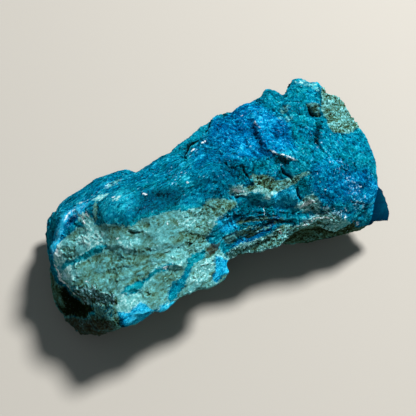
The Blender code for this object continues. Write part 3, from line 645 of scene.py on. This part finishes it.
skin = {
    "voxel": 0.55,  # mm, grain of the even skin before it is broken up
    "weld": 0.002,  # mm, points closer than this are one
    "smoothing": 4,
    "softRounds": 26,  # rounds of softening on the crust and the calm front
    "glassRounds": 14,
    "triangles": 190000,  # kept after the relief is cut, fewest where the skin is flat
    "crease": 34,  # degrees, edges between faces steeper than this stay sharp
    "boxGap": 0.03,  # mm kept clear of the solid's far sides
    # each kind of break on the skin has a size and a depth in mm
    "chipSize": 4.0,
    "chipDepth": 0.85,
    "smallChipSize": 1.7,
    "smallChips": 0.6,  # share of the large chips' depth
    "grainSize": 2.0,
    "grainDepth": 0.30,
    "fineSize": 0.9,
    "fineDepth": 0.12,
    "crustStepSize": 5.5,
    "crustSteps": 0.22,  # height of the crust's thin layers
    "crustChipSize": 2.4,
    "crustChips": 0.6,
    "crumbSize": 1.3,
    "crumbs": 0.4,
    "crustLumpSize": 1.0,
    "crustLumps": 0.22,
    "bandStepSize": 2.6,
    "bandSteps": 0.75,
    "bandChipSize": 1.4,
    "bandChips": 0.5,
    "darkDepth": 0.9,  # clefts
    "whiteRise": 0.1,  # bright edges
}
calmFront = [(12, 0), (22, -3), (34, -4), (44, -9), (44, -16), (34, -16), (20, -14), (10, -13), (6, -8)]


def readPoints(mesh, what="co"):
    found = np.empty(len(mesh.vertices) * 3, np.float32)
    mesh.vertices.foreach_get(what, found)
    return found.reshape(-1, 3).astype(float)


def soften(values, edges, rounds):
    # mean over neighbours on the mesh, round after round
    count = np.bincount(edges.ravel(), minlength=len(values))[:, None]
    flat = values.reshape(len(values), -1)
    for _ in range(rounds):
        mean = np.stack([
            np.bincount(edges[:, 0], column[edges[:, 1]], len(values))
            + np.bincount(edges[:, 1], column[edges[:, 0]], len(values))
            for column in flat.T
        ], 1) / count
        flat = (flat + mean) / 2
    return flat.reshape(values.shape)


def readEdges(mesh):
    pairs = np.empty(len(mesh.edges) * 2, np.int32)
    mesh.edges.foreach_get("vertices", pairs)
    return pairs.reshape(-1, 2)


def settled(obj):
    # applies the object's modifiers
    graph = bpy.context.evaluated_depsgraph_get()
    mesh = bpy.data.meshes.new_from_object(obj.evaluated_get(graph))
    obj.modifiers.clear()
    obj.data = mesh
    return mesh


def evenSkin(node):
    # the node's shape as one closed mesh with an even grain
    shape = bmesh.new()
    shape.from_mesh(node.data)
    bmesh.ops.remove_doubles(shape, verts=shape.verts, dist=skin["weld"] * mm)
    mesh = bpy.data.meshes.new("chrysocollaSkin")
    shape.to_mesh(mesh)
    shape.free()
    stone = bpy.data.objects.new("chrysocollaSkin", mesh)
    bpy.context.scene.collection.objects.link(stone)
    remesh = stone.modifiers.new("even", "REMESH")
    remesh.mode = "VOXEL"
    remesh.voxel_size = skin["voxel"] * mm
    settle = stone.modifiers.new("settle", "SMOOTH")
    settle.iterations = skin["smoothing"]
    settled(stone)
    return stone


def terraces(spots, rise, seed):
    # broken steps that follow the height lines of a soft noise, each rising over a fifth of its width
    wavy = perlin(spots, seed, 2) * rise
    share = np.mod(wavy, 1)
    return np.floor(wavy) + smooth((share - 0.4) / 0.2) - wavy * 0.85


def relief(points, fields):
    # height to add to the skin in mm, from each finish's own kind of break
    spots = points / mm
    onCrust = smooth(fields["crust"] / 1.2 + 0.5)
    rough = (1 - fields["glassy"]) * (1 - smooth(fields["facet"] / 0.6 + 0.5))
    warp = np.stack([perlin(spots / 3, s) for s in (1.0, 9.0, 13.0)], 1)
    bent = spots + warp * 1.1
    rightSide = smooth((spots[:, 0] + 2) / 12)
    drawn = blend(turned(bent, 14, 2.4), turned(bent, -62, 1.7), rightSide[:, None])
    large = chips(drawn / skin["chipSize"], 3) * skin["chipDepth"]
    small = chips(drawn / skin["smallChipSize"], 8) * skin["chipDepth"] * skin["smallChips"]
    fine = perlin(bent / skin["fineSize"], 14.0) * skin["fineDepth"]
    height = large + small
    height += ridges(drawn / skin["grainSize"], 4.0) * skin["grainDepth"] + fine
    long = turned(bent, 6, 2.0)
    busy = smooth(perlin(spots / 7, 41.0) * 1.6 + 0.55)
    busy = np.maximum(busy, fields["rubble"] * 1.6)
    steps = terraces(long / skin["crustStepSize"], 2.2, 2.0) * skin["crustSteps"]
    crusty = steps + chips(long / skin["crustChipSize"], 5) * skin["crustChips"] * (0.3 + busy)
    lumps = perlin(bent / skin["crustLumpSize"], 12.0, 2) * skin["crustLumps"] * (0.35 + busy)
    crusty += chips(bent / skin["crumbSize"], 17) * skin["crumbs"] * busy + lumps
    height = blend(height, crusty, onCrust)
    steps = terraces(turned(bent, 2, 5) / skin["bandStepSize"], 2.4, 15.0) * skin["bandSteps"]
    flakes = chips(turned(bent, 4, 3) / skin["bandChipSize"], 9) * skin["bandChips"]
    height = blend(height, steps + flakes, fields["band"])
    height *= rough
    plan = spots[:, :2] + np.stack([perlin(spots / 2.5, s) for s in (33.0, 37.0)], 1) * 0.6
    onTop = 1 - fields["under"]
    for mark in ledges.values():
        height -= ledgeDrop(plan, *mark) * onTop
    height -= smooth(fields["dark"] / 0.8 + 0.4) * skin["darkDepth"]
    height += smooth(fields["white"] / 0.6 + 0.4) * skin["whiteRise"]
    return height


def buildStone():
    stone = evenSkin(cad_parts["chrysocolla_stone"])
    mesh = stone.data
    edges = readEdges(mesh)
    points = readPoints(mesh)
    fields = fieldsOn(points)
    onTop = 1 - fields["under"]
    plain = smooth(fields["crust"] / 2 + 0.5) * smooth((10 - points[:, 0] / mm) / 4) * onTop
    plain = np.maximum(plain, smooth(insideOutline(points[:, :2] / mm, calmFront) / 3 + 0.5) * onTop)
    points = blend(points, soften(points, edges, skin["softRounds"]), (0.25 + 0.6 * plain)[:, None])
    points = blend(points, soften(points, edges, skin["glassRounds"]), fields["glassy"][:, None])
    away = (points / mm - facetPlane[0]) @ facetPlane[1]
    onFacet = smooth(insideOutline(points[:, :2] / mm, facet) / 0.4 + 0.6)
    onFacet = onFacet * (abs(away) < 4) * (points[:, 2] > paint["facetFoot"] * mm)
    flat = (onFacet * away)[:, None]
    points = points - facetPlane[1] * flat * mm
    besideFacet = (-19 - points[:, 1] / mm) / 3
    trims = [(underPlane, (points[:, 0] / mm - 62) / 3)] + [(plane, besideFacet) for plane in sidePlanes]
    for (spot, facing), where in trims:
        past = np.maximum((points / mm - spot) @ facing, 0) * smooth(where)
        points = points - facing * past[:, None] * mm
    mesh.vertices.foreach_set("co", points.astype(np.float32).ravel())
    mesh.update()
    normals = soften(readPoints(mesh, "normal"), edges, 3)
    normals /= np.linalg.norm(normals, axis=1, keepdims=True)
    onBase = smooth(1 - points[:, 2] / (0.6 * mm)) * smooth(-normals[:, 2] * 2)
    height = relief(points, fields) * (1 - onBase)
    points = points + normals * (height * mm)[:, None]
    low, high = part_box("chrysocolla_stone")
    points = np.clip(points, np.array(low), np.array(high) - skin["boxGap"] * mm)
    mesh.vertices.foreach_set("co", points.astype(np.float32).ravel())
    mesh.update()
    thin = stone.modifiers.new("thin", "DECIMATE")
    thin.ratio = skin["triangles"] / (2 * len(mesh.polygons))
    mesh = settled(stone)
    print("skin:", len(mesh.vertices), "points", len(mesh.polygons), "faces")

    edges = readEdges(mesh)
    points = readPoints(mesh)
    normals = readPoints(mesh, "normal")
    fields = fieldsOn(points)
    bulge = ((points - soften(points, edges, 3)) * normals).sum(1) / mm
    broad = ((points - soften(points, edges, 24)) * normals).sum(1) / mm
    fields["edge"] = np.clip(bulge * 6, -1, 1)
    fields["crest"] = np.clip(broad * 1.6, -1, 1)
    for name, values in fields.items():
        mesh.attributes.new(name, "FLOAT", "POINT").data.foreach_set("value", values.astype(np.float32))
    mesh.shade_smooth()
    mesh.set_sharp_from_angle(angle=math.radians(skin["crease"]))
    return stone


def rgb(red, green, blue):
    # a screen colour of 0 to 255 as the light it stands for
    parts = [c / 255 for c in (red, green, blue)]
    return tuple(p / 12.92 if p <= 0.04045 else ((p + 0.055) / 1.055) ** 2.4 for p in parts) + (1,)


class Value:
    # a socket whose sums read as sums and add their own nodes
    def __init__(self, shader, socket):
        self.shader, self.socket = shader, socket

    def sum(self, operation, *others, clamp=False):
        settings = {"operation": operation, "use_clamp": clamp}
        return self.shader.add("ShaderNodeMath", settings, dict(enumerate(others)))

    def __add__(self, other):
        return self.sum("ADD", self, other)

    def __sub__(self, other):
        return self.sum("SUBTRACT", self, other)

    def __rsub__(self, other):
        return self.sum("SUBTRACT", other, self)

    def __mul__(self, other):
        return self.sum("MULTIPLY", self, other)

    __radd__ = __add__
    __rmul__ = __mul__

    def clamped(self):
        return self.sum("ADD", self, 0.0, clamp=True)

    def between(self, low, high):
        # 0 below low and 1 above high, with a smooth rise
        sockets = {"Value": self, "From Min": low, "From Max": high}
        return self.shader.add("ShaderNodeMapRange", {"interpolation_type": "SMOOTHSTEP"}, sockets)


class Shader:
    def __init__(self, name):
        self.material = bpy.data.materials.new(name)
        self.material.use_nodes = True
        self.nodes = self.material.node_tree.nodes
        self.links = self.material.node_tree.links
        self.surface = self.nodes["Principled BSDF"]

    def add(self, kind, settings=None, sockets=None, out=0):
        node = self.nodes.new(kind)
        for name, value in (settings or {}).items():
            if name == "stops":
                ramp = node.color_ramp
                while len(ramp.elements) < len(value):
                    ramp.elements.new(0.5)
                for element, (position, shade) in zip(ramp.elements, value):
                    element.position, element.color = position, shade
            else:
                setattr(node, name, value)
        for name, value in (sockets or {}).items():
            self.fill(node.inputs[name], value)
        return Value(self, node.outputs[out])

    def fill(self, socket, value):
        if isinstance(value, Value):
            self.links.new(value.socket, socket)
        else:
            socket.default_value = value

    def attribute(self, name):
        return self.add("ShaderNodeAttribute", {"attribute_name": name}, out="Fac")

    def mix(self, a, b, share):
        return self.add("ShaderNodeMix", {"data_type": "RGBA"}, {0: share, 6: a, 7: b}, out=2)

    def ramp(self, value, stops):
        return self.add("ShaderNodeValToRGB", {"stops": stops}, {"Fac": value})

    def noise(self, where, grain, detail=3.0, rough=0.55, warp=0.0):
        sockets = {"Vector": where, "Scale": 1 / grain, "Detail": detail}
        sockets.update({"Roughness": rough, "Distortion": warp})
        return self.add("ShaderNodeTexNoise", {}, sockets)

    def flakes(self, where, grain):
        # a steady random number for each small flake
        sockets = {"Vector": where, "Scale": 1 / grain, "Randomness": 1.0}
        shade = self.add("ShaderNodeTexVoronoi", {"feature": "F1"}, sockets, out="Color")
        return self.add("ShaderNodeSeparateColor", {}, {"Color": shade})

    def hairs(self, where, grain, width):
        # thin winding lines where a noise passes its middle
        middle = self.noise(where, grain, 3.0, 0.6, 0.5) - 0.5
        return 1 - middle.sum("ABSOLUTE", middle).between(width * 0.4, width)

    def along(self, where, angle, stretch):
        # a grain drawn out along a line at this angle in plan
        sockets = {"Vector": where, "Angle": math.radians(-angle)}
        turned = self.add("ShaderNodeVectorRotate", {"rotation_type": "Z_AXIS"}, sockets)
        return self.scaled(turned, (1 / stretch, 1, 1))

    def scaled(self, where, factors):
        return self.add("ShaderNodeVectorMath", {"operation": "MULTIPLY"}, {0: where, 1: factors})


stoneFinish = {
    "teal": [(0.0, rgb(1, 18, 22)), (0.22, rgb(1, 56, 66)), (0.45, rgb(0, 96, 114)),
             (0.68, rgb(2, 128, 146)), (0.88, rgb(20, 164, 182)), (1.0, rgb(70, 204, 220))],
    "cobalt": [(0.0, rgb(0, 16, 34)), (0.22, rgb(0, 50, 88)), (0.45, rgb(0, 82, 132)),
               (0.68, rgb(0, 120, 170)), (0.88, rgb(12, 164, 210)), (1.0, rgb(60, 200, 240))],
    "mint": [(0.0, rgb(14, 30, 28)), (0.2, rgb(34, 76, 74)), (0.42, rgb(62, 126, 128)),
             (0.62, rgb(80, 156, 162)), (0.82, rgb(104, 188, 190)), (1.0, rgb(180, 232, 230))],
    "sage": [(0.0, rgb(18, 24, 8)), (0.2, rgb(46, 68, 46)), (0.42, rgb(74, 116, 96)),
             (0.62, rgb(98, 150, 130)), (0.82, rgb(124, 182, 160)), (1.0, rgb(188, 224, 210))],
    "white": rgb(232, 248, 252),
    "bruiseAndGlint": rgb(170, 228, 248),
    # painted shade in clefts
    "cleftShade": rgb(4, 14, 14),
    "stain": rgb(52, 44, 34),
    # sizes in mm
    "fineGrain": 0.5,
    "flakeSize": 0.9,
    "speckSize": 1.3,
    "patchSize": 4.2,
    "veilSize": 3.0,
    "streakSize": 1.4,
    "layerSize": 1.7,
    "bruiseSize": 0.9,
    "scrapeSize": 0.6,
    "bump": 0.22,
    "darkHairs": (2.6, 0.022),  # size in mm, then width as a share of the noise's range
    "paleHairs": (2.0, 0.016),
    "roughness": 0.68,
    "coatRoughness": 0.42,
    "coatIor": 1.3,
}


def stoneMaterial():
    look = stoneFinish
    shader = Shader("chrysocolla")
    where = shader.scaled(shader.add("ShaderNodeTexCoord", out="Object"), (1000, 1000, 1000))
    grain = shader.noise(where, look["fineGrain"], 2.0, 0.6)
    specks = shader.noise(where, look["speckSize"], 4.0, 0.65, 0.4)
    patches = shader.noise(shader.scaled(where, (0.6, 1, 1)), look["patchSize"], 4.0, 0.55, 0.6)
    veiled = shader.noise(where, look["veilSize"], 3.0, 0.55, 0.8)
    flake = shader.flakes(where, look["flakeSize"])
    onRight = shader.add("ShaderNodeSeparateXYZ", {}, {"Vector": where}).between(-2, 12)
    sides = {0: onRight, 4: shader.along(where, 24, 3.5), 5: shader.along(where, -62, 2.2)}
    lined = shader.add("ShaderNodeMix", {"data_type": "VECTOR"}, sides, out=1)
    streaks = shader.noise(lined, look["streakSize"], 3.0, 0.65, 0.3)
    crustField, tone, blue, rubbly = (shader.attribute(n) for n in ("crust", "tone", "blue", "rubble"))
    edge, crest, glassy = (shader.attribute(n) for n in ("edge", "crest", "glassy"))
    facet = (shader.attribute("facet") + (grain - 0.5) * 0.3).between(-0.1, 0.1)

    darkHairs = shader.hairs(lined, *look["darkHairs"])
    paleHairs = shader.hairs(where, *look["paleHairs"])
    broken = 1 - facet * 0.9
    calm = (1 - shader.attribute("calm")) * broken
    # lighter on ridges, like rubbed wear, and darker in creases as painted shade
    wearAndCreaseShade = (edge * 0.16 + crest * 0.09) * calm
    blueTone = 0.47 + tone * 0.42 + wearAndCreaseShade + (grain - 0.5) * 0.75 * (calm * 0.6 + 0.4) * broken
    blueTone = blueTone + (paleHairs * 0.3 - darkHairs * 0.28) * broken
    mottle = (specks - 0.5) * 0.8 + (patches - 0.5) * 0.7 + (streaks - 0.5) * 0.7 + (flake - 0.5) * 0.2
    blueTone = blueTone + mottle * calm
    blueShare = (blue + (veiled - 0.5) * 1.6 * calm).clamped()
    teal, cobalt = (shader.ramp(blueTone, look[name]) for name in ("teal", "cobalt"))
    mineral = shader.mix(teal, cobalt, blueShare)

    layer = shader.noise(shader.along(where, 6, 2.8), look["layerSize"], 4.0, 0.6, 0.3)
    crumbly = 1 + rubbly * 1.1
    mottle = (layer - 0.5) * 0.5 + (specks - 0.5) * 0.5 + (grain - 0.5) * 0.4
    mottle = mottle + paleHairs * 0.16 - darkHairs * 0.12 + (patches - 0.5) * 0.4 + (flake - 0.5) * 0.16
    # the crust too is lighter on ridges and darker in creases, the creases as painted shade
    crustTone = 0.53 + tone * 0.38 + mottle * crumbly + edge * 0.18 + crest * 0.09
    sage = shader.ramp(crustTone, look["sage"])
    mint = shader.ramp(crustTone, look["mint"])
    crust = shader.mix(sage, mint, ((crustTone - 0.5) * 2.2 + (patches - 0.5) * 1.8 + 0.46).clamped())
    frayed = crustField + (specks - 0.5) * 2.6 + (grain - 0.5) * 1.2 + (patches - 0.5) * 1.5
    shade = shader.mix(mineral, crust, frayed.between(-0.25, 0.35))

    stain = shader.attribute("stain") + (specks - 0.5) * 0.9 - 0.3
    shade = shader.mix(shade, look["stain"], stain.between(0.0, 0.35) * 0.75)
    # pale broken edges, partly painted highlights and glints where edges catch the light
    whiteField = shader.attribute("white") + (grain - 0.5) * 0.9 + (specks - 0.5) * 1.6
    shade = shader.mix(shade, look["white"], whiteField.between(-0.1, 0.2) * 0.92)
    # small white bruises with painted glints (sparkles) among them, denser where worn
    worn = shader.attribute("worn")
    bruiseAndGlintNoise = shader.noise(where, look["bruiseSize"], 3.0, 0.6, 0.9) + edge * 0.04
    bruiseAndGlintNoise = bruiseAndGlintNoise + (worn * 0.34 + (veiled - 0.5) * 0.6 - 0.16).clamped()
    scrapeAndGlintNoise = shader.noise(lined, look["scrapeSize"], 2.0, 0.6) + edge * 0.06
    scrapeAndGlintNoise = scrapeAndGlintNoise + (worn * 0.3 + (veiled - 0.5) * 0.4 - 0.12).clamped()
    bruisesAndGlints = (bruiseAndGlintNoise.between(0.69, 0.78) + scrapeAndGlintNoise.between(0.71, 0.80)).clamped() * calm
    shade = shader.mix(shade, look["bruiseAndGlint"], bruisesAndGlints * 0.85)
    # painted shade: clefts and deep lines are painted near black
    cleftShadeField = shader.attribute("dark") + (grain - 0.5) * 0.6
    shade = shader.mix(shade, look["cleftShade"], cleftShadeField.between(-0.2, 0.3) * 0.85)

    rough = (look["roughness"] + (specks - 0.5) * 0.5 - glassy * 0.35).clamped()
    height = specks * 0.6 + grain * 0.5 + flake * 0.2
    relieved = {"Strength": calm, "Distance": look["bump"] * mm, "Height": height}
    bump = shader.add("ShaderNodeBump", {}, relieved)
    surface = {
        "Base Color": shade,
        "Roughness": rough,
        "Coat Weight": (glassy * 0.15 + bruisesAndGlints * 0.3).clamped(),
        "Coat Roughness": look["coatRoughness"],
        "Coat IOR": look["coatIor"],
        "Specular IOR Level": 0.0,
        "Normal": bump,
    }
    for name, value in surface.items():
        shader.fill(shader.surface.inputs[name], value)
    return shader.material


print("cutting the stone's skin")
stone = buildStone()
print("mixing the stone's finish")
stone.data.materials.clear()
stone.data.materials.append(stoneMaterial())
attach(stone, "root")
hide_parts("chrysocolla_stone")

studio = {
    "floor": rgb(182, 177, 168),
    "floorHalf": 1.5,  # metres, as the light's sizes and distances
    "floorRoughness": 0.85,
    "keyFrom": (0.56, 0.22, 0.80),  # direction of the key light from the stone
    "keyFar": 1.5,
    "keySize": 0.32,
    "keyPower": 38,
    "fillFrom": (-0.5, -0.6, 0.9),
    "fillFar": 0.9,
    "fillSize": 0.6,
    "fillPower": 0.3,
    "skyTint": (0.7, 0.9, 1.0, 1),
    "sky": 0.11,
}


def addLight(name, direction, far, size, power):
    lamp = bpy.data.lights.new(name, "AREA")
    lamp.shape, lamp.size, lamp.energy = "DISK", size, power
    light = bpy.data.objects.new(name, lamp)
    bpy.context.scene.collection.objects.link(light)
    light.location = Vector(direction).normalized() * far
    light.rotation_euler = Vector(direction).to_track_quat("Z", "Y").to_euler()


def buildStudio():
    shape = bmesh.new()
    bmesh.ops.create_grid(shape, x_segments=8, y_segments=8, size=studio["floorHalf"])
    mesh = bpy.data.meshes.new("floor")
    shape.to_mesh(mesh)
    shape.free()
    floor = bpy.data.objects.new("floor", mesh)
    bpy.context.scene.collection.objects.link(floor)
    shader = Shader("floor")
    shader.fill(shader.surface.inputs["Base Color"], studio["floor"])
    shader.fill(shader.surface.inputs["Roughness"], studio["floorRoughness"])
    mesh.materials.append(shader.material)
    addLight("key", studio["keyFrom"], studio["keyFar"], studio["keySize"], studio["keyPower"])
    addLight("fill", studio["fillFrom"], studio["fillFar"], studio["fillSize"], studio["fillPower"])
    world = bpy.data.worlds.new("studio")
    world.use_nodes = True
    sky = world.node_tree.nodes["Background"]
    sky.inputs["Color"].default_value = studio["skyTint"]
    sky.inputs["Strength"].default_value = studio["sky"]
    bpy.context.scene.world = world
    bpy.context.scene.view_settings.view_transform = "Standard"


view = {
    "aim": (0.005, 0.0115, 0.0),  # floor point in the middle of the picture
    "far": 0.307,  # metres from it
    "elevation": 64.15,  # degrees
    "azimuth": -21.0,
    "lens": 56.25,  # mm
    "sensor": 36,
    "clip": 0.01,
}


def addCamera():
    turn, rise = math.radians(view["azimuth"]), math.radians(view["elevation"])
    back = Vector((math.sin(turn) * math.cos(rise), -math.cos(turn) * math.cos(rise), math.sin(rise)))
    right = Vector((math.cos(turn), math.sin(turn), 0))
    camera = bpy.data.objects.new("camera", bpy.data.cameras.new("camera"))
    camera.data.lens, camera.data.sensor_width = view["lens"], view["sensor"]
    camera.data.clip_start = view["clip"]
    camera.matrix_world = Matrix.Translation(Vector(view["aim"]) + back * view["far"]) @ Matrix(
        (right, back.cross(right), back)
    ).transposed().to_4x4()
    bpy.context.scene.collection.objects.link(camera)
    bpy.context.scene.camera = camera


print("setting up the studio")
buildStudio()
addCamera()
